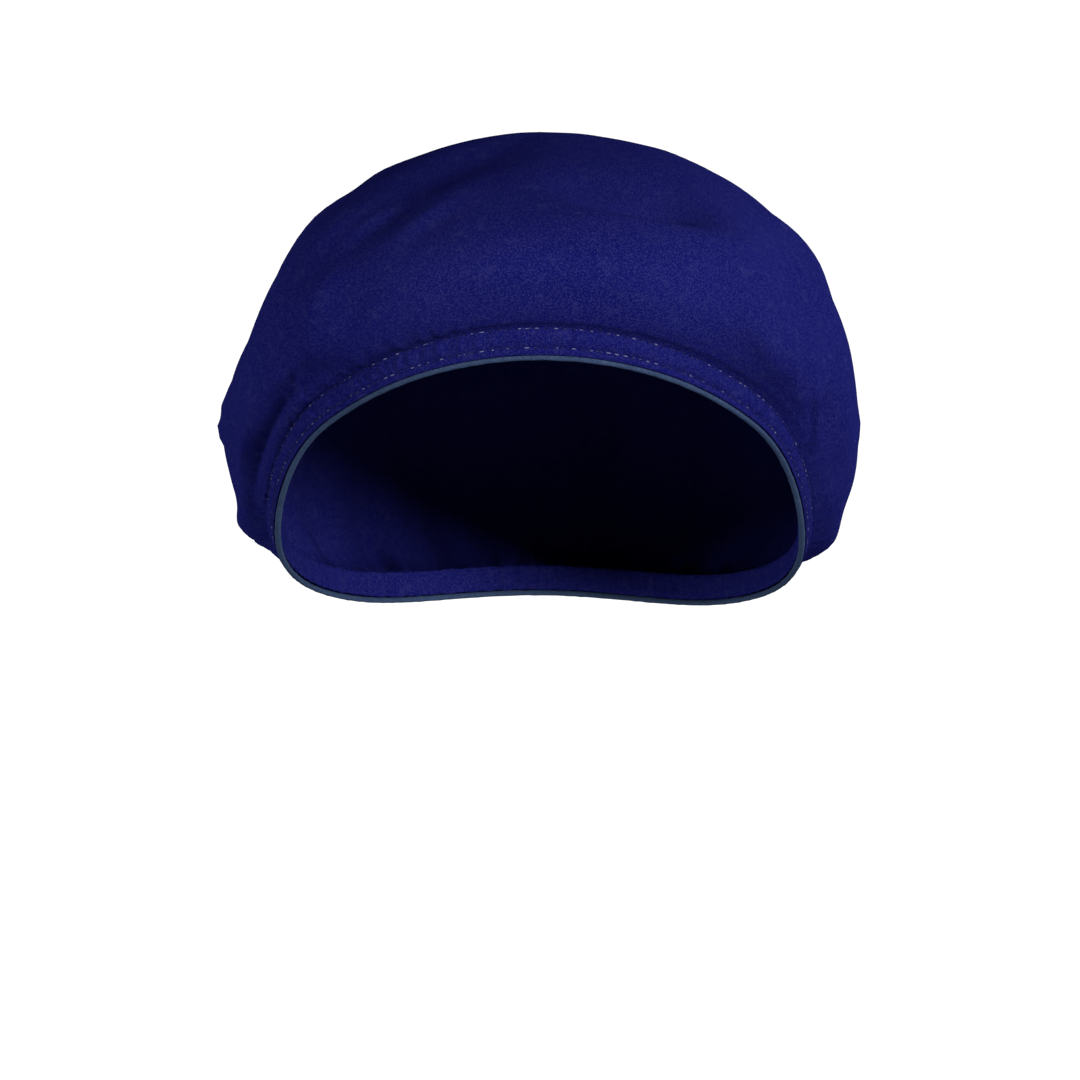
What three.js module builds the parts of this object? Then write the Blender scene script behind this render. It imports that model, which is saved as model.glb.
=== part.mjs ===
// A bouffant scrub cap as it sits on a head: a puffed cloth crown, the turned-in hem band that
// holds its elastic, and the contrast piping along its edge. Millimetres, +Z up, the forehead
// towards -Y. The origin is the centre of the head opening.
import * as THREE from "three";

// Driving dimensions.
const COLUMNS = 72; // stations round the head
const SHELL_WALL = 1.2; // crown cloth
const BAND_WALL = 1.5; // turned-in cloth with the flat elastic inside it
const PLY_GAP = 0.3; // clearance between neighbouring pieces
const HEM_WIDTH = 8.5; // from the cloth's edge to the upper row of stitching
const PIPING_RADIUS = 1.2;
const PIPING_SIDES = 8;
const HEM_ROWS = 2; // from the edge to the stitching
const POUCH_ROWS = 7; // from the stitching to the widest line
const DOME_ROWS = 11; // from the widest line to the top
const TOP = { back: 6, up: 103 };
const FOLD_FADE = 0.6; // rise at which the folds reach their full depth

// One row for each section through the cap, at equal turns from the forehead towards +X.
// hemOut, hemUp: the cloth's edge. lean: degrees that the hem band tips outwards.
// bellyOut, bellyUp: the widest line of the bag. pouch, dome: how full the curve is below and
// above that line, where 2 is an ellipse and more is boxier.
const SECTIONS = [
  { name: "front", hemOut: 99, hemUp: 52, lean: 4, bellyOut: 107, bellyUp: 74, pouch: 2.0, dome: 2.15 },
  { name: "front_right", hemOut: 87, hemUp: 27, lean: 6, bellyOut: 100, bellyUp: 50, pouch: 2.2, dome: 2.25 },
  { name: "right", hemOut: 81, hemUp: -25, lean: 8, bellyOut: 98, bellyUp: 12, pouch: 2.8, dome: 2.2 },
  { name: "back_right", hemOut: 85, hemUp: -53, lean: 10, bellyOut: 113, bellyUp: 0, pouch: 3.4, dome: 2.2 },
  { name: "back", hemOut: 92, hemUp: -57, lean: 10, bellyOut: 133, bellyUp: 8, pouch: 2.6, dome: 2.3 },
  { name: "back_left", hemOut: 85, hemUp: -52, lean: 10, bellyOut: 113, bellyUp: 0, pouch: 3.4, dome: 2.0 },
  { name: "left", hemOut: 81, hemUp: -23, lean: 8, bellyOut: 97, bellyUp: 12, pouch: 2.8, dome: 2.0 },
  { name: "front_left", hemOut: 87, hemUp: 27, lean: 6, bellyOut: 99, bellyUp: 50, pouch: 2.2, dome: 2.1 },
];

// The resting cloth's soft ridges (+) and dents (-), each a line between two places on the bag.
// Turn: degrees from the forehead towards +X. Rise: 0 at the stitching, 1 at the widest line, 2
// at the top. Width and depth: how far the fold reaches to each side, and how high it stands.
const FOLDS = [
  { name: "left_flat", fromTurn: -105, fromRise: 1.3, toTurn: -72, toRise: 1.2, width: 19, depth: -4 },
  { name: "right_flat", fromTurn: 85, fromRise: 1.35, toTurn: 85, toRise: 1.1, width: 20, depth: -2 },
  { name: "left_taper", fromTurn: -110, fromRise: 0.6, toTurn: -75, toRise: 0.6, width: 13, depth: -2.5 },
  { name: "right_taper", fromTurn: 80, fromRise: 0.6, toTurn: 110, toRise: 0.6, width: 13, depth: -2 },
  { name: "left_ridge", fromTurn: -42, fromRise: 1.45, toTurn: -78, toRise: 0.75, width: 11, depth: 3 },
  { name: "left_valley", fromTurn: -46, fromRise: 0.6, toTurn: -80, toRise: 0.45, width: 9, depth: -4 },
  { name: "left_dent", fromTurn: -34, fromRise: 1.42, toTurn: -28, toRise: 1.8, width: 15, depth: -4 },
  { name: "left_crease", fromTurn: -17, fromRise: 1.55, toTurn: -29, toRise: 1.25, width: 6, depth: 1.6 },
  { name: "right_dent", fromTurn: 12, fromRise: 1.5, toTurn: 27, toRise: 1.45, width: 12, depth: -4.5 },
  { name: "right_lip", fromTurn: 8, fromRise: 1.36, toTurn: 35, toRise: 1.22, width: 8, depth: 1.8 },
  { name: "right_ridge", fromTurn: 33, fromRise: 1.3, toTurn: 53, toRise: 0.5, width: 11, depth: 3 },
  { name: "right_valley", fromTurn: 48, fromRise: 1.2, toTurn: 62, toRise: 0.6, width: 9, depth: -3.5 },
  { name: "back_ridge_a", fromTurn: 128, fromRise: 0.4, toTurn: 122, toRise: 1.4, width: 13, depth: 3 },
  { name: "back_valley_a", fromTurn: 146, fromRise: 0.3, toTurn: 140, toRise: 1.25, width: 11, depth: -4 },
  { name: "back_ridge_b", fromTurn: 166, fromRise: 0.4, toTurn: 160, toRise: 1.2, width: 13, depth: 3 },
  { name: "back_valley_b", fromTurn: 186, fromRise: 0.3, toTurn: 178, toRise: 1.4, width: 12, depth: -4.5 },
  { name: "back_ridge_c", fromTurn: 207, fromRise: 0.4, toTurn: 200, toRise: 1.25, width: 13, depth: 3 },
  { name: "back_valley_c", fromTurn: 226, fromRise: 0.3, toTurn: 222, toRise: 1.3, width: 11, depth: -4 },
  { name: "back_sag", fromTurn: 150, fromRise: 1.75, toTurn: 205, toRise: 1.7, width: 24, depth: -4 },
];

const FULL_TURN = 360;
const radians = THREE.MathUtils.degToRad;

// Smooth value of one column of SECTIONS at any turn.
function around(column, turn) {
  const place = THREE.MathUtils.euclideanModulo(turn, FULL_TURN) * SECTIONS.length / FULL_TURN;
  const row = Math.floor(place);
  const value = (k) => SECTIONS[(row + k + SECTIONS.length) % SECTIONS.length][column];
  const t = place - row;
  const startSlope = (value(1) - value(-1)) / 2;
  const endSlope = (value(2) - value(0)) / 2;
  const rest = 1 - t;
  return (
    rest * rest * ((1 + 2 * t) * value(0) + t * startSlope) +
    t * t * ((1 + 2 * rest) * value(1) - rest * endSlope)
  );
}

// The place at a turn round the head, out from the middle and up.
function standing(turn, out, up) {
  return new THREE.Vector3(out * Math.sin(radians(turn)), -out * Math.cos(radians(turn)), up);
}

// The hem band's outer face, a distance along it from the cloth's edge up to the stitching.
function hemFace(turn, along) {
  const lean = radians(around("lean", turn));
  const out = around("hemOut", turn) + along * Math.sin(lean);
  return standing(turn, out, around("hemUp", turn) + along * Math.cos(lean));
}

// The crown's outer face without its folds. Rise runs -1 at the edge, 0 at the stitching, 1 at
// the widest line and 2 at the top.
function smoothCrown(turn, rise) {
  const seam = hemFace(turn, (Math.min(rise, 0) + 1) * HEM_WIDTH);
  if (rise <= 0) return seam;
  const belly = standing(turn, around("bellyOut", turn), around("bellyUp", turn));
  const above = rise > 1;
  const swing = radians(90 * (above ? rise - 1 : 1 - rise));
  const power = 2 / around(above ? "dome" : "pouch", turn);
  const reach = rise >= 2 ? 0 : Math.cos(swing) ** power;
  const lift = Math.sin(swing) ** power;
  const end = above ? new THREE.Vector3(0, TOP.back, TOP.up) : seam;
  return new THREE.Vector3(
    THREE.MathUtils.lerp(end.x, belly.x, reach),
    THREE.MathUtils.lerp(end.y, belly.y, reach),
    THREE.MathUtils.lerp(belly.z, end.z, lift),
  );
}

// Outward direction of a face that face(turn, along) gives.
function outward(face, turn, along) {
  const sideways = face(turn + 1, along).sub(face(turn - 1, along));
  const upward = face(turn, along + 0.02).sub(face(turn, along - 0.02));
  return sideways.cross(upward).normalize();
}

// How far the folds lift a point of the smooth crown. They die out towards the stitching.
function foldLift(point, rise) {
  const nearest = new THREE.Vector3();
  const lifts = FOLDS.map((fold) => {
    const ends = [smoothCrown(fold.fromTurn, fold.fromRise), smoothCrown(fold.toTurn, fold.toRise)];
    new THREE.Line3(...ends).closestPointToPoint(point, true, nearest);
    return fold.depth * Math.exp(-((nearest.distanceTo(point) / fold.width) ** 2));
  });
  const fade = THREE.MathUtils.smoothstep(rise, 0, FOLD_FADE);
  return fade * lifts.reduce((sum, lift) => sum + lift, 0);
}

// The crown's outer face with its folds, or the inner face where inset is the wall.
function crownFace(turn, rise, inset) {
  const point = smoothCrown(turn, rise);
  const direction = rise >= 2 ? new THREE.Vector3(0, 0, 1) : outward(smoothCrown, turn, rise);
  return point.addScaledVector(direction, foldLift(point, rise) - inset);
}

// A place in the hem: along from the cloth's edge, and inset from its outer face.
function inHem(turn, along, inset) {
  return hemFace(turn, along).addScaledVector(outward(hemFace, turn, along), -inset);
}

// A closed shape round the head: the section, a list of { u, v }, is turned on a lathe, and each
// of its points is then put at place(turn, u, v).
function roundTheHead(section, place) {
  const profile = section.map(({ u, v }) => new THREE.Vector2(u, v));
  const geometry = new THREE.LatheGeometry(profile, COLUMNS);
  const position = geometry.getAttribute("position");
  for (let i = 0; i < position.count; i++) {
    const column = Math.floor(i / section.length) % COLUMNS;
    const { u, v } = section[i % section.length];
    const point = place(column * FULL_TURN / COLUMNS, u, v);
    position.setXYZ(i, point.x, point.y, point.z);
  }
  geometry.computeVertexNormals();
  return geometry;
}

const steps = (from, to, count) => Array.from({ length: count }, (_, k) => from + (to - from) * k / count);

// Down the inner face from the top to the edge, and up the outer face to the top.
function crownGeometry() {
  const rises = [...steps(-1, 0, HEM_ROWS), ...steps(0, 1, POUCH_ROWS), ...steps(1, 2, DOME_ROWS), 2];
  const outer = rises.map((rise) => ({ u: rise, v: 0 }));
  const inner = rises.map((rise) => ({ u: rise, v: SHELL_WALL })).reverse();
  return roundTheHead([...inner, ...outer], crownFace);
}

// A flat band inside the crown's hem, from its edge to the stitching.
function bandGeometry() {
  const rows = [...steps(0, HEM_WIDTH, HEM_ROWS), HEM_WIDTH];
  const outerInset = SHELL_WALL + PLY_GAP;
  const outer = rows.map((along) => ({ u: along, v: outerInset }));
  const inner = rows.map((along) => ({ u: along, v: outerInset + BAND_WALL })).reverse();
  return roundTheHead([...outer, ...inner, outer[0]], inHem);
}

// A round cord of folded cloth under the edges of the crown and the band.
function pipingGeometry() {
  const centre = { u: -PLY_GAP - PIPING_RADIUS, v: SHELL_WALL + PLY_GAP / 2 };
  const section = steps(0, FULL_TURN, PIPING_SIDES).map((angle) => ({
    u: centre.u - PIPING_RADIUS * Math.sin(radians(angle)),
    v: centre.v - PIPING_RADIUS * Math.cos(radians(angle)),
  }));
  return roundTheHead([...section, section[0]].reverse(), inHem);
}

const navyCloth = new THREE.MeshStandardMaterial({ color: "#17175c", roughness: 0.9, metalness: 0 });
const navyBand = new THREE.MeshStandardMaterial({ color: "#131350", roughness: 0.9, metalness: 0 });
const slatePiping = new THREE.MeshStandardMaterial({ color: "#3b5678", roughness: 0.85, metalness: 0 });

function piece(name, geometry, material) {
  const mesh = new THREE.Mesh(geometry, material);
  mesh.name = name;
  return mesh;
}

const scrubCap = new THREE.Group();
scrubCap.add(piece("crown", crownGeometry(), navyCloth));
scrubCap.add(piece("hem_band", bandGeometry(), navyBand));
scrubCap.add(piece("piping", pipingGeometry(), slatePiping));

export default scrubCap;
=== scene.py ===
# %% [markdown]
# # A scrub cap, puffed and gathered
# A bouffant scrub cap is a bag of thin cloth whose edge is gathered onto a narrow elastic band.
# This lesson dresses the CAD model of one. The CAD gives the bag's form, the turned-in band and
# the piping; here they become matt woven cloth with gathers, creases and topstitching.
# Everything is in metres, with -Y towards the forehead and +Z up.

# %% Load the frame
import math

import bmesh
import bpy
import numpy as np
from mathutils import Matrix, Vector, noise
from mathutils.kdtree import KDTree


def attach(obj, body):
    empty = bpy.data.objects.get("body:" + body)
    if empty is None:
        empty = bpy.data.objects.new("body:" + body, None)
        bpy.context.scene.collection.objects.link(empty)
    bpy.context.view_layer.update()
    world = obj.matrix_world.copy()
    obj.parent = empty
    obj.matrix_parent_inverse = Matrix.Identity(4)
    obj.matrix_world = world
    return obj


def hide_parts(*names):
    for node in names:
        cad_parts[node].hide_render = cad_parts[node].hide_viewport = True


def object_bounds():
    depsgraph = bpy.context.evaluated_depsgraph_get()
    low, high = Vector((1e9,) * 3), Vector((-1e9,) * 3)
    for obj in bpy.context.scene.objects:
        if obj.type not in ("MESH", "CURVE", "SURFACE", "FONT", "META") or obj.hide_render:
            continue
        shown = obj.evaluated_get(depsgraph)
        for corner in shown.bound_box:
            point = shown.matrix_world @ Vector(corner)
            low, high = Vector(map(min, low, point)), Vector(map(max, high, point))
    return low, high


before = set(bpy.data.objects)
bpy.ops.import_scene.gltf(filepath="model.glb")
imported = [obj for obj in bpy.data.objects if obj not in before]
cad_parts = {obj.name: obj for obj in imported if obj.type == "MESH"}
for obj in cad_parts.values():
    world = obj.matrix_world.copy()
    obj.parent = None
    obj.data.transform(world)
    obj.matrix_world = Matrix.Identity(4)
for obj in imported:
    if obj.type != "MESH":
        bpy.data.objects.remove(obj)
cad_low, cad_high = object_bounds()
MM = 0.001
print("cap", [round(size / MM) for size in Vector(cad_high) - Vector(cad_low)], "mm")

# %% [markdown]
# ## Camera, floor and light
# The cap hangs in the air as if a head wore it, so the floor lies well below it and only gives
# a pale surround. A long lens from a little above the brow shows the front as a product shot
# does. The key light stands in front on the right, a little above the brow. A weaker one fills
# the left side and a third lights the back, so that the folds turn from light to dark.

# %% Camera
AIM = Vector((0, 0, -20.5 * MM))
EYE_DISTANCE = 1.0
EYE_RISE = math.radians(12)
LENS_MM = 109.3
SENSOR_MM = 36.0


def look_from(obj, place, target):
    """Puts a camera or light at a place, facing the target."""
    obj.location = place
    obj.rotation_euler = (target - place).to_track_quat("-Z", "Y").to_euler()


camera_data = bpy.data.cameras.new("camera")
camera_data.lens = LENS_MM
camera_data.sensor_width = SENSOR_MM
camera_data.clip_end = 20
camera = bpy.data.objects.new("camera", camera_data)
bpy.context.scene.collection.objects.link(camera)
look_from(camera, AIM + EYE_DISTANCE * Vector((0, -math.cos(EYE_RISE), math.sin(EYE_RISE))), AIM)
bpy.context.scene.camera = camera
bpy.context.scene.view_settings.view_transform = "Standard"


# %% Lights
def area_light(name, place, size, power):
    """A round lamp, size metres across, that faces the cap."""
    data = bpy.data.lights.new(name, "AREA")
    data.shape = "DISK"
    data.size = size
    data.energy = power
    light = bpy.data.objects.new(name, data)
    bpy.context.scene.collection.objects.link(light)
    look_from(light, Vector(place), AIM)


area_light("key_light", (1.0, -1.3, 0.5), 0.35, 205)
area_light("fill_light", (-1.5, -0.5, 0.1), 0.5, 85)
area_light("back_light", (1.1, 1.3, 0.5), 0.35, 120)

world = bpy.data.worlds.new("studio")
world.use_nodes = True
world.node_tree.nodes["Background"].inputs["Color"].default_value = (1, 1, 1, 1)
world.node_tree.nodes["Background"].inputs["Strength"].default_value = 1.0
bpy.context.scene.world = world

# %% [markdown]
# ## Shader sums as Python
# Node trees for cloth are mostly arithmetic on a few textures. A small class wraps a socket and
# overloads the operators, so that a material reads like a formula, and one method adds any
# other node.


# %% A socket that can be added and multiplied
class Value:
    """A number that varies over a surface: the output socket of a shader node."""

    def __init__(self, tree, socket):
        self.tree = tree
        self.socket = socket

    def maths(self, operation, *others, flip=False):
        terms = [self, *others][::-1] if flip else [self, *others]
        return self.tree.add("ShaderNodeMath", {"operation": operation}, dict(enumerate(terms)))

    def __add__(self, other):
        return self.maths("ADD", other)

    def __sub__(self, other):
        return self.maths("SUBTRACT", other)

    def __mul__(self, other):
        return self.maths("MULTIPLY", other)

    def __rsub__(self, other):
        return self.maths("SUBTRACT", other, flip=True)

    __radd__ = __add__
    __rmul__ = __mul__


class Finish:
    """A material whose nodes are added by name."""

    def __init__(self, name):
        self.material = bpy.data.materials.new(name)
        self.material.use_nodes = True
        self.tree = self.material.node_tree
        self.shader = self.tree.nodes["Principled BSDF"]

    def feed(self, socket, value):
        if isinstance(value, Value):
            self.tree.links.new(value.socket, socket)
        else:
            socket.default_value = value

    def add(self, kind, settings=None, inputs=None, output=0):
        """Adds a node: first its settings, then its sockets, by name or number."""
        node = self.tree.nodes.new(kind)
        for key, value in (settings or {}).items():
            setattr(node, key, value)
        for key, value in (inputs or {}).items():
            self.feed(node.inputs[key], value)
        return Value(self, node.outputs[output])

    def set(self, **inputs):
        """Sets the surface shader's sockets; an underscore in a name stands for a space."""
        for key, value in inputs.items():
            self.feed(self.shader.inputs[key.replace("_", " ")], value)

    def ramp(self, value, low, high):
        """0 below low, 1 above high and smooth between."""
        inputs = {"Value": value, "From Min": low, "From Max": high}
        return self.add("ShaderNodeMapRange", {"interpolation_type": "SMOOTHSTEP"}, inputs)

    def blend(self, amount, first, second):
        """A colour between two colours."""
        node = {"data_type": "RGBA"}
        return self.add("ShaderNodeMix", node, {0: amount, 6: first, 7: second}, output=2)

# %% [markdown]
# ## The crown's cloth
# The real crown is one thin ply of polycotton. The CAD crown is a thick wall with flat facets,
# so its outer face is copied, cleaned to a grid of quads and smoothed by subdivision. A grid
# whose lines run round the head and up to the top is what gathers need: they follow its lines,
# and the rows near the hem can be made finer than the plain top.

# %% Helpers for turning a CAD wall into a grid
SAME_POINT = 0.01 * MM
SHARP = math.radians(60)
CAD_COLUMNS = 72
SMOOTHING = 2


def outer_face(node):
    """A merged copy of a CAD shell's outer face, up to the sharp edge where it turns inside."""
    bm = bmesh.new()
    bm.from_mesh(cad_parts[node].data)
    bmesh.ops.remove_doubles(bm, verts=bm.verts, dist=SAME_POINT)
    summit = max(bm.verts, key=lambda vert: vert.co.z)
    wall = set(summit.link_faces)
    front = list(wall)
    while front:
        crossed = [edge for face in front for edge in face.edges]
        smooth = [edge for edge in crossed if edge.calc_face_angle_signed() < SHARP]
        front = list({face for edge in smooth for face in edge.link_faces} - wall)
        wall.update(front)
    bmesh.ops.delete(bm, geom=[face for face in bm.faces if face not in wall], context="FACES")
    return bm


def turn_of(place, middle=0.0):
    """Degrees from the forehead towards +X, round a vertical line at y = middle."""
    return math.degrees(math.atan2(place.x, middle - place.y))


def measure_up(bm):
    """Numbers the rows from the open edge and stores each vertex's way along the cloth."""
    row = bm.verts.layers.int.new("row")
    way = bm.verts.layers.float.new("way")
    front = [vert for vert in bm.verts if vert.is_boundary]
    seen = set(front)
    while front:
        nearest = {}
        for vert in front:
            for edge in vert.link_edges:
                above = edge.other_vert(vert)
                length = edge.calc_length()
                if above not in seen and length < nearest.get(above, (math.inf, None))[0]:
                    nearest[above] = (length, vert)
        for above, (length, vert) in nearest.items():
            above[row] = vert[row] + 1
            above[way] = vert[way] + length
        front = list(nearest)
        seen.update(front)
    return row, way


def merge_diagonals(bm, row, middle):
    """Dissolves the edges that cross the grid's quads."""
    half_column = 180 / CAD_COLUMNS
    top = max(vert[row] for vert in bm.verts)
    diagonals = []
    for edge in bm.edges:
        low, high = sorted(edge.verts, key=lambda vert: vert[row])
        turned = abs(turn_of(low.co, middle) - turn_of(high.co, middle))
        crosses = half_column < turned < 360 - half_column
        if low[row] != high[row] and high[row] != top and crosses:
            diagonals.append(edge)
    bmesh.ops.dissolve_edges(bm, edges=diagonals, use_verts=False)


def as_object(name, bm):
    mesh = bpy.data.meshes.new(name)
    bm.to_mesh(mesh)
    bm.free()
    obj = bpy.data.objects.new(name, mesh)
    bpy.context.scene.collection.objects.link(obj)
    return obj


def smoothed(bm):
    """A new bmesh of the same form after subdivision."""
    obj = as_object("smoothing", bm)
    subdivision = obj.modifiers.new("subdivision", "SUBSURF")
    subdivision.levels = subdivision.render_levels = SMOOTHING
    finished = obj.evaluated_get(bpy.context.evaluated_depsgraph_get())
    fine = bmesh.new()
    fine.from_mesh(finished.to_mesh())
    finished.to_mesh_clear()
    bpy.data.objects.remove(obj)
    return fine


# %% The crown as a smooth grid
crown_grid = outer_face("crown")
row, way = measure_up(crown_grid)
pole = max(crown_grid.verts, key=lambda vert: vert[row])
pole_y = pole.co.y
merge_diagonals(crown_grid, row, pole_y)
sides = [len(face.verts) for face in crown_grid.faces]
print("crown grid:", sides.count(4), "quads,", sides.count(3), "triangles,", len(sides), "faces")
crown_grid.verts.layers.int.remove(row)
crown_grid.verts.layers.float.remove(crown_grid.verts.layers.float["way"])

crown_cloth = smoothed(crown_grid)
row, way = measure_up(crown_cloth)
print("rows", max(vert[row] for vert in crown_cloth.verts), "vertices", len(crown_cloth.verts))

# %% [markdown]
# ### Finer rows at the stitching and finer columns at the gathers
# A row of stitches pulls a furrow about a millimetre wide into the hem, and the gathers
# stand about three millimetres apart, so the grid is split across the furrows and, in two
# steps, along the rows near the hem.

# %% Split the grid
HEM_WIDTH = 8.5 * MM
LOWER_ROW = 1.9 * MM
UPPER_ROW = 7.3 * MM
FURROW_REACH = 1.3 * MM
ROWS_TO_BELLY = 36
ROWS_NEAR_HEM = 24
ROWS_WITH_STITCHES = 12
LEVEL = 0.3


def halve(bm, edges):
    """Cuts each edge once, with new edges across the quads between them."""
    bmesh.ops.subdivide_edges(bm, edges=edges, cuts=1, use_grid_fill=True)


def middle_way(edge):
    return sum(vert[way] for vert in edge.verts) / 2


across = [
    edge
    for edge in crown_cloth.edges
    if edge.verts[0][row] != edge.verts[1][row]
    and min(abs(middle_way(edge) - at) for at in (LOWER_ROW, UPPER_ROW)) < FURROW_REACH
    and max(vert[row] for vert in edge.verts) < ROWS_WITH_STITCHES
]
halve(crown_cloth, across)
for last_row in (ROWS_TO_BELLY, ROWS_NEAR_HEM):
    along = [
        edge
        for edge in crown_cloth.edges
        if edge.verts[0][row] == edge.verts[1][row]
        and abs(edge.verts[0][way] - edge.verts[1][way]) < LEVEL * edge.calc_length()
        and edge.verts[0][row] <= last_row
    ]
    halve(crown_cloth, along)
print("crown cloth:", len(crown_cloth.verts), "vertices", len(crown_cloth.faces), "faces",
      max(len(face.verts) for face in crown_cloth.faces), "sides at most")

# %% [markdown]
# ### Where a point lies on the cloth
# Gathers are described in the cloth's own measures: how far round the hem, and how far up from
# its folded edge. The way round is taken from the lowest row of the grid, so that gathers are
# evenly spaced where the opening slants. The whole cloth is read into arrays, because moving
# fifty thousand points one by one in Python would be slow.


# %% Read the cloth into arrays
def read_layer(bm, layer):
    return np.array([vert[layer] for vert in bm.verts])


def read_points(bm):
    bm.normal_update()
    points = np.array([vert.co for vert in bm.verts])
    normals = np.array([vert.normal for vert in bm.verts])
    return points, normals


def turns(points, middle=0.0):
    """Degrees from the forehead towards +X, from -180 to 180."""
    return np.degrees(np.arctan2(points[:, 0], middle - points[:, 1]))


way_up = read_layer(crown_cloth, way)
rows = read_layer(crown_cloth, row)
cloth, normals = read_points(crown_cloth)
turn = turns(cloth)
edge_row = np.flatnonzero(way_up == 0)
edge_row = edge_row[np.argsort(turn[edge_row])]
edge_steps = np.linalg.norm(np.diff(cloth[edge_row], axis=0, append=cloth[edge_row[:1]]), axis=1)
HEM_LENGTH = edge_steps.sum()
edge_turns = turn[edge_row]
edge_ways = np.concatenate([[0], np.cumsum(edge_steps)[:-1]])
way_round = np.interp(turn, edge_turns, edge_ways, period=360)
print("hem length", round(HEM_LENGTH / MM), "mm")

# %% [markdown]
# ### Gathers and puckers
# Each gather is a soft ridge that starts at a row of stitches and dies out up the cloth. Its
# height comes from a smooth bump across it and a quick rise and slow fall along it. Their
# places, widths, lengths and slants are drawn from a seeded generator. How strong they are
# depends on the place: faint over the brow, longer and slanting at the temples, and full at
# the back, where the elastic draws the cloth in most.

# %% One gather, and a set of them
draw = np.random.default_rng(7)


def around_gap(first, second, whole):
    """Signed way from second to first round a closed ring."""
    return (first - second + whole / 2) % whole - whole / 2


def by_turn(table, places):
    """Reads a table of turn: value smoothly round the head."""
    return np.interp(places, list(table), list(table.values()), period=360)


def gathers(spacing, start, width, length, height, slant, rise=1.2 * MM):
    """The lift of a row of gathers. width, length, height and slant are tables by turn."""
    lift = np.zeros(len(cloth))
    for k in range(round(HEM_LENGTH / spacing)):
        place = (k + draw.uniform(-0.35, 0.35)) * spacing
        at_turn = np.interp(place, edge_ways, edge_turns)
        size = draw.uniform(0.5, 1.3)
        reach = by_turn(length, at_turn) * draw.uniform(0.5, 1.4)
        wide = by_turn(width, at_turn) * draw.uniform(0.75, 1.3)
        lean = by_turn(slant, at_turn) + draw.normal(0, 0.15)
        high = by_turn(height, at_turn) * size
        up = way_up - start
        side = around_gap(way_round, place, HEM_LENGTH)
        beside = abs(side) < 4 * wide + abs(lean) * up
        near = np.flatnonzero((up > 0) & (up < 2.5 * reach) & beside)
        across = (side[near] - lean * up[near]) / (wide * (1 + up[near] / reach))
        along = (1 - np.exp(-up[near] / rise)) * np.exp(-((up[near] / reach) ** 2))
        lift[near] += high * along * np.exp(-(across**2))
    return lift


# %% Gathers above the hem
small_gathers = gathers(
    spacing=2.7 * MM,
    start=UPPER_ROW,
    width={-180: 1.3 * MM, -60: 1.0 * MM, 0: 0.95 * MM, 60: 1.0 * MM},
    length={-180: 16 * MM, -110: 12 * MM, -75: 8 * MM, -20: 6 * MM,
            12: 3 * MM, 40: 4 * MM, 110: 10 * MM},
    height={-180: 1.1 * MM, -120: 0.8 * MM, -95: 0.45 * MM, -70: 0.8 * MM, -20: 0.65 * MM,
            5: 0.35 * MM, 40: 0.25 * MM, 95: 0.25 * MM, 125: 0.9 * MM},
    slant={-180: 0, -60: -0.15, 0: 0, 25: 0.2, 60: 0.3},
)
long_gathers = gathers(
    spacing=13 * MM,
    start=UPPER_ROW,
    width={-180: 3.4 * MM, -75: 2.6 * MM, 0: 2.2 * MM, 75: 2.6 * MM},
    length={-180: 80 * MM, -130: 65 * MM, -100: 20 * MM, -35: 9 * MM,
            35: 9 * MM, 100: 18 * MM, 130: 65 * MM},
    height={-180: 4.2 * MM, -130: 3.4 * MM, -105: 0.4 * MM, -75: 0.3 * MM, -35: 0.3 * MM,
            35: 0.15 * MM, 105: 0.3 * MM, 130: 3.4 * MM},
    slant={-180: 0, -60: -0.2, 0: 0, 60: 0.2},
    rise=6 * MM,
)
print("gathers up to", round(float((small_gathers + long_gathers).max()) / MM, 2), "mm high")

# %% [markdown]
# ### The hem and its two rows of stitching
# The elastic makes the hem a flat tunnel: it bulges a little between the two rows of stitches,
# and its cloth puckers across it. Each row of stitches lies in a furrow.


# %% Puckers across the hem, and the furrows
HEM_SLANT = {-180: 0, -60: -0.5, 0: 0.1, 30: 0.9, 60: 0.7}
HEM_PUCKER = {-180: 0.9 * MM, -75: 0.7 * MM, -20: 0.75 * MM,
              5: 0.5 * MM, 30: 0.7 * MM, 75: 0.45 * MM}
PUCKER_SPACING = 2.9 * MM
PUCKER_REACH = 12 * MM
TUNNEL_RISE = 0.35 * MM
tunnel = np.sin(np.pi * np.clip((way_up - LOWER_ROW) / (UPPER_ROW - LOWER_ROW), 0, 1))


def furrow(at, width, depth):
    return -depth * np.exp(-(((way_up - at) / width) ** 2))


def hem_puckers(spacing):
    lift = np.zeros(len(cloth))
    for k in range(round(HEM_LENGTH / spacing)):
        place = (k + draw.uniform(-0.4, 0.4)) * spacing
        at_turn = np.interp(place, edge_ways, edge_turns)
        lean = by_turn(HEM_SLANT, at_turn) + draw.normal(0, 0.25)
        high = by_turn(HEM_PUCKER, at_turn) * draw.uniform(0.4, 1.4)
        wide = draw.uniform(0.8, 1.35) * MM
        side = around_gap(way_round, place, HEM_LENGTH)
        near = np.flatnonzero((way_up < UPPER_ROW) & (abs(side) < PUCKER_REACH))
        across = (side[near] - lean * (way_up[near] - HEM_WIDTH / 2)) / wide
        lift[near] += high * tunnel[near] * np.exp(-(across**2))
    return lift


hem_lift = hem_puckers(PUCKER_SPACING) + TUNNEL_RISE * tunnel
hem_lift += furrow(UPPER_ROW, width=0.6 * MM, depth=0.35 * MM)
hem_lift += furrow(LOWER_ROW, width=0.5 * MM, depth=0.3 * MM)

# %% [markdown]
# ### Soft creases over the bag
# Cloth that has been folded in a packet and pulled onto a head keeps a few soft creases and a
# faint unevenness everywhere. Creases are rows of a table, each between two places given by
# turn and by the share of the way up to the top, with width and height in millimetres; how far
# a point lies from a crease is measured along the cloth. The unevenness is smooth noise in two
# sizes. Above the stitching the cloth dips before it swells out, mostly right of the middle.

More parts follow.
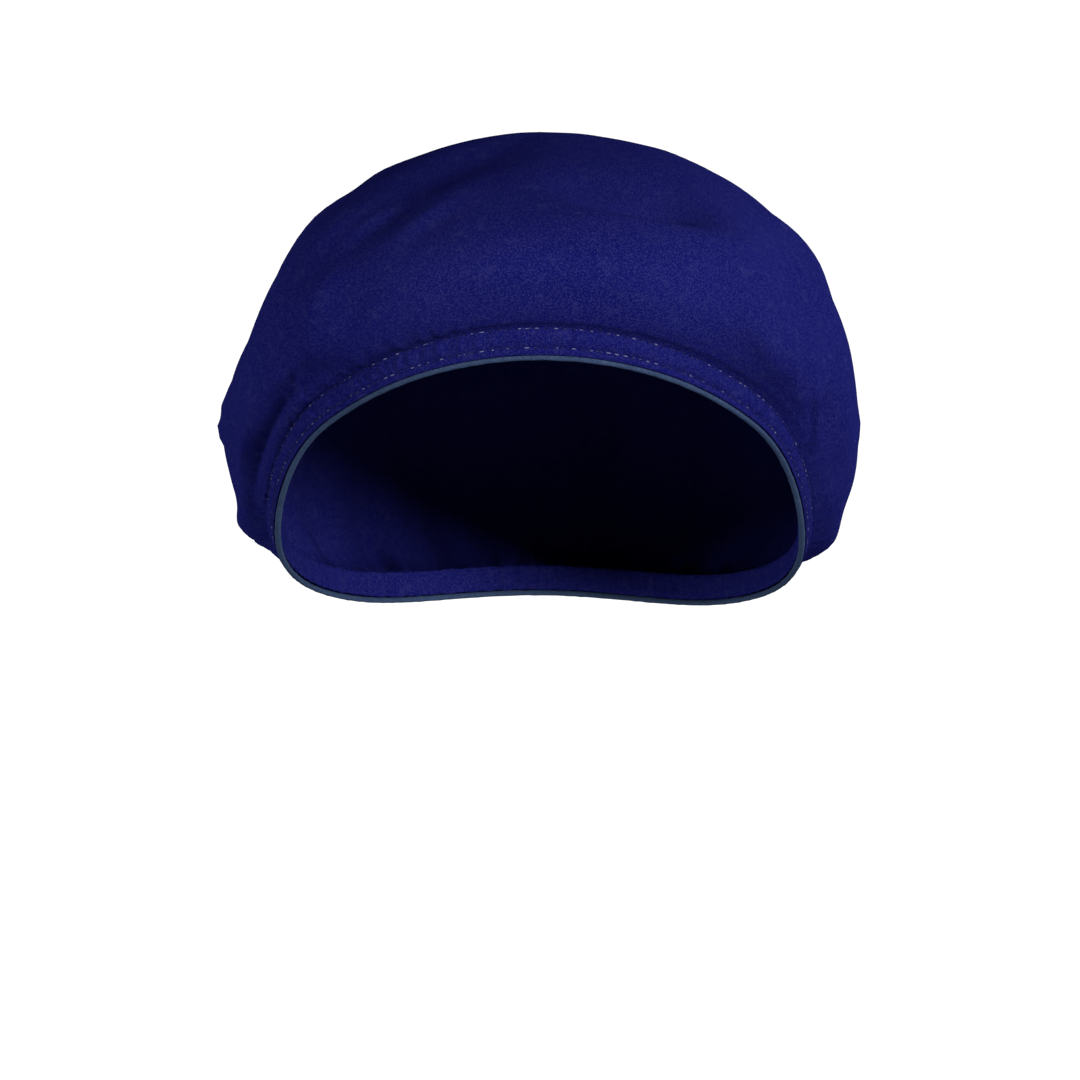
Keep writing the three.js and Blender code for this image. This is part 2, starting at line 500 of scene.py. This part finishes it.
# %% Creases and unevenness
CREASES = (
    {"from": (-17, 0.42), "to": (-27, 0.30), "width": 3.5, "height": 0.8},
    {"from": (-13, 0.40), "to": (-23, 0.28), "width": 4.5, "height": -0.7},
    {"from": (-34, 0.50), "to": (-40, 0.34), "width": 3.5, "height": 1.1},
    {"from": (-28, 0.50), "to": (-32, 0.36), "width": 4.0, "height": -0.9},
    {"from": (-34, 0.32), "to": (-44, 0.18), "width": 6.0, "height": 1.6},
    {"from": (-26, 0.26), "to": (-34, 0.14), "width": 7.0, "height": -1.0},
    {"from": (8, 0.345), "to": (38, 0.31), "width": 3.5, "height": 0.7},
    {"from": (6, 0.39), "to": (36, 0.40), "width": 5.0, "height": -2.4},
    {"from": (36, 0.36), "to": (46, 0.28), "width": 4.5, "height": 0.7},
    {"from": (30, 0.26), "to": (44, 0.10), "width": 5.0, "height": 1.2},
    {"from": (44, 0.27), "to": (54, 0.12), "width": 6.0, "height": -1.4},
    {"from": (54, 0.17), "to": (66, 0.06), "width": 2.5, "height": 1.6},
    {"from": (-34, 0.17), "to": (-94, 0.075), "width": 4.0, "height": 3.0},
    {"from": (-32, 0.095), "to": (-94, 0.065), "width": 3.6, "height": -3.0},
    {"from": (-45, 0.14), "to": (-50, 0.05), "width": 1.6, "height": 1.2},
    {"from": (-60, 0.59), "to": (-97, 0.56), "width": 5.0, "height": 0.8},
    {"from": (-80, 0.72), "to": (-130, 0.77), "width": 9.0, "height": 1.0},
    {"from": (-64, 0.52), "to": (-94, 0.22), "width": 14.0, "height": -2.0},
    {"from": (-74, 0.245), "to": (-116, 0.235), "width": 3.5, "height": 2.1},
    {"from": (-90, 0.10), "to": (-118, 0.10), "width": 3.5, "height": 2.0},
    {"from": (86, 0.73), "to": (120, 0.66), "width": 12.0, "height": -2.6},
    {"from": (56, 0.51), "to": (90, 0.45), "width": 8.0, "height": 1.6},
    {"from": (62, 0.40), "to": (92, 0.37), "width": 6.0, "height": -1.2},
    {"from": (78, 0.25), "to": (112, 0.25), "width": 4.0, "height": 0.7},
    {"from": (96, 0.095), "to": (122, 0.09), "width": 4.0, "height": 1.8},
    {"from": (118, 0.60), "to": (131, 0.25), "width": 5.0, "height": 1.4},
    {"from": (-120, 0.62), "to": (-134, 0.28), "width": 5.0, "height": 1.4},
    {"from": (160, 0.66), "to": (174, 0.30), "width": 5.5, "height": -1.6},
    {"from": (-152, 0.60), "to": (-168, 0.32), "width": 5.0, "height": 1.5},
)
TOP_ROWS = 8
TURN_STEP = 15
TURN_REACH = 8
from_pole = turns(cloth, pole_y)
left_over = np.linalg.norm(cloth - cloth[rows.argmax()], axis=1)
near_top = (rows >= rows.max() - TOP_ROWS) & (rows < rows.max())
way_to_top = {}
for at in range(-180, 180, TURN_STEP):
    in_line = near_top & (abs(around_gap(from_pole, at, 360)) < TURN_REACH)
    way_to_top[at] = np.median((way_up + left_over)[in_line])
whole_up = by_turn(way_to_top, from_pole)
share_up = way_up / whole_up
per_degree = np.radians(1) * np.hypot(cloth[:, 0], cloth[:, 1])


def crease(row):
    """The lift of one crease: round across it, and fading to nothing at both ends."""
    (start_turn, start_share), (end_turn, end_share) = row["from"], row["to"]
    along_round = (end_turn - start_turn) * per_degree
    along_up = (end_share - start_share) * whole_up
    from_round = around_gap(turn, start_turn, 360) * per_degree
    from_up = (share_up - start_share) * whole_up
    share = (from_round * along_round + from_up * along_up) / (along_round**2 + along_up**2)
    share = np.clip(share, 0, 1)
    gap = np.hypot(from_round - share * along_round, from_up - share * along_up)
    across = np.exp(-((gap / (row["width"] * MM)) ** 2))
    return row["height"] * MM * np.sin(np.pi * share) * across


def uneven(size, height):
    return height * np.array([noise.noise(Vector(point) / size) for point in cloth])


ROOT_DIP = {-180: 0, -50: 0, -25: -0.8 * MM, 0: -1.2 * MM,
            20: -1.8 * MM, 45: -3.0 * MM, 75: -2.0 * MM, 105: 0}
ROOT_MIDDLE = 18 * MM
ROOT_WIDTH = 9 * MM
CREASE_FADE = 5 * MM
PLAIN_TOP = 0.3
fade = np.clip((way_up - UPPER_ROW) / CREASE_FADE, 0, 1)
creased = sum(crease(row) for row in CREASES)
soft_lift = creased + uneven(26 * MM, height=0.5 * MM) + uneven(9 * MM, height=0.12 * MM)
dipped = by_turn(ROOT_DIP, turn) * np.exp(-(((way_up - ROOT_MIDDLE) / ROOT_WIDTH) ** 2))
below_top = np.clip((1 - share_up) / PLAIN_TOP, 0, 1)
lift = below_top * (small_gathers + long_gathers) + hem_lift + fade * (soft_lift + dipped)
cloth = cloth + lift[:, None] * normals
for vert, place in zip(crown_cloth.verts, cloth):
    vert.co = place
print("lift", round(float(lift.min()) / MM, 2), "to", round(float(lift.max()) / MM, 2), "mm")

# %% [markdown]
# ### The folded edge and the cloth's own grain
# The edge of the cloth is turned under, so the open row is drawn inwards twice, into a small
# round fold. The weave needs a map that follows the cloth: the crown is cut as a flat oval, so
# each point is laid flat at its way from the top, in its own direction.

# %% Fold the edge, lay the cloth flat
EDGE_FOLD = ((0.35 * MM, 0.25 * MM), (0.5 * MM, -0.9 * MM))
loop = [edge for edge in crown_cloth.edges if edge.is_boundary]
for step_in, step_down in EDGE_FOLD:
    made = bmesh.ops.extrude_edge_only(crown_cloth, edges=loop)["geom"]
    loop = [item for item in made if isinstance(item, bmesh.types.BMEdge)]
    folded = {vert for edge in loop for vert in edge.verts}
    for vert in folded:
        away = Vector((vert.co.x, vert.co.y, 0)).normalized()
        vert.co += -step_in * away - Vector((0, 0, step_down))

flat_map = crown_cloth.loops.layers.uv.new("flat")
crown_cloth.verts.index_update()
points, _ = read_points(crown_cloth)
angle = turns(points, pole_y)
reach = by_turn(way_to_top, angle) - read_layer(crown_cloth, way)
laid = np.stack([reach * np.sin(np.radians(angle)), -reach * np.cos(np.radians(angle))], axis=1)
for face in crown_cloth.faces:
    face.smooth = True
    for corner in face.loops:
        corner[flat_map].uv = laid[corner.vert.index]
crown = as_object("crown_cloth", crown_cloth)

# %% [markdown]
# ## The facing inside the hem
# Inside the hem a strip of the same cloth covers the elastic. It is seen from below, through
# the head opening. The CAD band has its form and place; a copy is smoothed and puckered.


# %% The facing
ANY_ANGLE = 3
NOT_UPRIGHT = 0.9
LONG_EDGE = 1.4 * MM


def copy_of(node):
    """A smoothed copy of a whole CAD piece, with its triangles joined in pairs."""
    bm = bmesh.new()
    bm.from_mesh(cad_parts[node].data)
    bmesh.ops.remove_doubles(bm, verts=bm.verts, dist=SAME_POINT)
    bmesh.ops.join_triangles(
        bm, faces=bm.faces, angle_face_threshold=ANY_ANGLE, angle_shape_threshold=ANY_ANGLE
    )
    return smoothed(bm)


def ripple(bm, spacing, height, slimmer=0.0):
    """Moves each point along its normal by seeded waves round the head."""
    points, out = read_points(bm)
    place = np.interp(turns(points), edge_turns, edge_ways, period=360)
    wave = np.zeros(len(points))
    for k in range(round(HEM_LENGTH / spacing)):
        at = (k + draw.uniform(-0.4, 0.4)) * spacing
        side = around_gap(place, at, HEM_LENGTH) / (0.35 * spacing)
        wave += draw.uniform(0.3, 1.2) * height * np.exp(-(side**2))
    for vert, normal, size in zip(bm.verts, out, wave):
        vert.co += Vector(normal * (size - height / 2 - slimmer))


def finish_piece(name, bm, node=None):
    for face in bm.faces:
        face.smooth = True
    piece = as_object(name, bm)
    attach(piece, "root")
    if node:
        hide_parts(node)
    return piece


band_cloth = copy_of("hem_band")
lengthwise = [
    edge
    for edge in band_cloth.edges
    if abs(edge.verts[0].co.z - edge.verts[1].co.z) < NOT_UPRIGHT * edge.calc_length()
    and edge.calc_length() > LONG_EDGE
]
halve(band_cloth, lengthwise)
ripple(band_cloth, spacing=3.1 * MM, height=0.35 * MM)
facing = finish_piece("hem_facing", band_cloth, "hem_band")
print("facing", len(facing.data.polygons), "faces")

# %% [markdown]
# ## The piping
# Piping is a narrow bias strip folded round a thin cord and caught in the seam. It stays round,
# with faint dents of its own, as far apart as the hem's puckers. The CAD pieces stay clear of
# each other, so the piping is raised a little towards the cloth.

# %% The piping
SEAM_GAP = 0.55 * MM
piping_cloth = copy_of("piping")
bmesh.ops.translate(piping_cloth, verts=piping_cloth.verts, vec=(0, 0, SEAM_GAP))
ripple(piping_cloth, spacing=2.9 * MM, height=0.12 * MM, slimmer=0.15 * MM)
piping = finish_piece("hem_piping", piping_cloth, "piping")
print("piping", len(piping.data.polygons), "faces")

# %% [markdown]
# ## Two rows of topstitching
# Both rows are lockstitch, with a stitch every two and a half millimetres. A stitch is a short
# thread that sinks at both ends, so it is modelled as one stretched ball of a few dozen faces,
# laid along the furrow. Every place on the cloth is found from its way round and up.

# %% Stitches
STITCH_PITCH = 2.5 * MM
STITCH_LENGTH = 1.6 * MM
THREAD = 0.32 * MM
STITCHED_PART = 14 * MM
AIM_REACH = 0.6 * MM
SMALLEST_GAP = 0.05 * MM

low_rows = np.flatnonzero(way_up < STITCHED_PART)
index = KDTree(len(low_rows))
for k in low_rows:
    index.insert((way_round[k], way_up[k], 0), int(k))
index.balance()


def on_cloth(round_way, up_way):
    """The place and outward direction of the cloth there, from its three nearest points."""
    found = index.find_n((round_way % HEM_LENGTH, up_way, 0), 3)
    weights = np.array([1 / (gap + SMALLEST_GAP) for _, _, gap in found])
    near = [k for _, k, _ in found]
    place = weights @ cloth[near] / weights.sum()
    return Vector(place), Vector(weights @ normals[near]).normalized()


ball = bmesh.new()
bmesh.ops.create_uvsphere(ball, u_segments=8, v_segments=4, radius=1)
one_stitch = bpy.data.meshes.new("one_stitch")
ball.to_mesh(one_stitch)
ball.free()

stitches = bmesh.new()
for row_way in (UPPER_ROW, LOWER_ROW):
    for k in range(round(HEM_LENGTH / STITCH_PITCH)):
        at = (k + draw.uniform(-0.08, 0.08)) * STITCH_PITCH
        start, _ = on_cloth(at - AIM_REACH, row_way)
        end, _ = on_cloth(at + AIM_REACH, row_way)
        middle, outward = on_cloth(at, row_way)
        along = (end - start).normalized()
        side = outward.cross(along).normalized()
        turned = Matrix((along, side, along.cross(side))).transposed().to_4x4()
        size = Matrix.Diagonal((STITCH_LENGTH / 2, THREAD / 2, THREAD / 2, 1))
        spot = Matrix.Translation(middle + THREAD / 2 * outward)
        laid_stitch = one_stitch.copy()
        laid_stitch.transform(spot @ turned @ size)
        stitches.from_mesh(laid_stitch)
        bpy.data.meshes.remove(laid_stitch)
topstitching = finish_piece("topstitching", stitches)
print("stitches", len(topstitching.data.polygons), "faces")

# %% [markdown]
# ## Finishes
# The cloth is plain-woven polycotton in a deep royal navy. Up close it shows its yarns; from a
# metre away only a fine grain, a faint heather of lighter and darker yarns and a few specks of
# lint. It is matt all over, with no gloss. The weave is made of two sets of waves on the flat
# map, lifted in turn like warp and weft, and the hollows between the yarns are painted a little
# darker as painted shade. The facing and piping have no flat map, so theirs lies in the piece's
# own space. The base colours are set for this scene's strong lights and are darker than such
# cloth is, so under other lights they need to be lightened.

# %% The cloth's finish
YARN = 0.42 * MM
NAVY = (0.0009, 0.0011, 0.0152, 1)
DEEP_NAVY = (0.0004, 0.0004, 0.0125, 1)
PALE_NAVY = (0.0050, 0.0055, 0.0240, 1)
LINT = (0.05, 0.055, 0.10, 1)
PIPING_YARN = 0.3 * MM
SLATE = (0.0050, 0.0085, 0.0180, 1)
DEEP_SLATE = (0.0025, 0.0045, 0.0105, 1)
PALE_SLATE = (0.0110, 0.0165, 0.030, 1)


def weave(finish, vector, pitch):
    """Height of a plain weave, from 0 between the yarns to 1 on top of them."""
    axes = finish.add("ShaderNodeSeparateXYZ", inputs={"Vector": vector})
    across = Value(finish, axes.socket.node.outputs["X"])
    along = Value(finish, axes.socket.node.outputs["Y"])
    turn_rate = math.pi / pitch
    warp = (across * turn_rate).maths("SINE")
    weft = (along * turn_rate).maths("SINE")
    return (warp * weft).maths("ABSOLUTE").maths("POWER", 0.5)


def cloth_finish(name, base, dark, pale, coordinates, pitch, lint=True):
    finish = Finish(name)
    if coordinates == "flat":
        flat = finish.add("ShaderNodeUVMap", {"uv_map": "flat"})
    else:
        flat = finish.add("ShaderNodeTexCoord", output=3)
    place = finish.add("ShaderNodeTexCoord", output=3)
    broad = finish.add("ShaderNodeTexNoise", inputs={"Vector": place, "Scale": 22, "Detail": 3})
    fine = finish.add("ShaderNodeTexNoise", inputs={"Vector": place, "Scale": 2300, "Detail": 2})
    slub = finish.add("ShaderNodeTexNoise", inputs={"Vector": place, "Scale": 260, "Detail": 3})
    yarns = weave(finish, flat, pitch)
    colour = finish.blend(finish.ramp(broad, 0.35, 0.7) * 0.45, base, dark)
    colour = finish.blend(finish.ramp(fine, 0.42, 0.68) * 0.6, colour, pale)
    colour = finish.blend(finish.ramp(slub, 0.55, 0.75) * 0.25, colour, pale)
    # Painted shade: the hollows between the yarns are blended towards the dark colour.
    colour = finish.blend((1 - yarns) * 0.2, colour, dark)
    if lint:
        cells = {"Vector": place, "Scale": 85, "Randomness": 1}
        speck = finish.add("ShaderNodeTexVoronoi", inputs=cells)
        tint = finish.add("ShaderNodeTexVoronoi", inputs=cells, output=1)
        chance = finish.add("ShaderNodeSeparateXYZ", inputs={"Vector": tint})
        chosen = finish.ramp(chance, 0.90, 0.92)
        dot = 1 - finish.ramp(speck, 0.015, 0.03)
        colour = finish.blend(dot * chosen * 0.5, colour, LINT)
    relief = {"Height": yarns * 0.6 + slub * 0.5, "Distance": 0.12 * MM, "Strength": 0.5}
    bump = finish.add("ShaderNodeBump", inputs=relief)
    rough = 0.78 + fine * 0.15
    finish.set(Base_Color=colour, Roughness=rough, Normal=bump, Specular_IOR_Level=0.0)
    return finish.material


def dress(piece, material):
    piece.data.materials.clear()
    piece.data.materials.append(material)


navies = (NAVY, DEEP_NAVY, PALE_NAVY)
slates = (SLATE, DEEP_SLATE, PALE_SLATE)
crown_finish = cloth_finish("navy_polycotton", *navies, "flat", YARN)
facing_finish = cloth_finish("navy_facing_cloth", *navies, "place", YARN, lint=False)
slate_cloth = cloth_finish("slate_piping_cloth", *slates, "place", PIPING_YARN, lint=False)
dress(crown, crown_finish)
dress(facing, facing_finish)
dress(piping, slate_cloth)

# %% The thread's finish, with painted glints
THREAD_NAVY = (0.0008, 0.0008, 0.010, 1)
PAINTED_THREAD_GLINT = (0.024, 0.024, 0.045, 1)
thread = Finish("navy_thread")
place = thread.add("ShaderNodeTexCoord", output=3)
# Lighter spots on the dark thread are painted highlights: glints painted into its colour, not
# reflections from the lights.
painted_glint_noise = thread.add("ShaderNodeTexNoise", inputs={"Vector": place, "Scale": 600, "Detail": 1})
thread_with_painted_glints = thread.blend(thread.ramp(painted_glint_noise, 0.50, 0.62), THREAD_NAVY, PAINTED_THREAD_GLINT)
thread.set(Base_Color=thread_with_painted_glints, Roughness=0.7, Specular_IOR_Level=0.02)
dress(topstitching, thread.material)

# %% [markdown]
# ## Stage
# A wide pale floor lies well below the cap. It glows, so that it reads as a white background,
# and it is far enough down for the cap to be seen from below as well.

# %% Floor
FLOOR_DROP = 0.8
FLOOR_REACH = 40
stage = bmesh.new()
below = Matrix.Translation((0, 0, cad_low[2] - FLOOR_DROP))
bmesh.ops.create_grid(stage, x_segments=1, y_segments=1, size=FLOOR_REACH, matrix=below)
floor = as_object("floor", stage)
paint = Finish("white_floor")
paint.set(Base_Color=(0.25, 0.25, 0.25, 1), Roughness=1.0, Specular_IOR_Level=0.0)
paint.set(Emission_Color=(1, 1, 1, 1), Emission_Strength=0.85)
dress(floor, paint.material)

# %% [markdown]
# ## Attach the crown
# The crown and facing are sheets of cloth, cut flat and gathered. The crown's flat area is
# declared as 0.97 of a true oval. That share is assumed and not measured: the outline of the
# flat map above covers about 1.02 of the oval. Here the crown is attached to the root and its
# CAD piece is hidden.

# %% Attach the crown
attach(crown, "root")
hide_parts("crown")
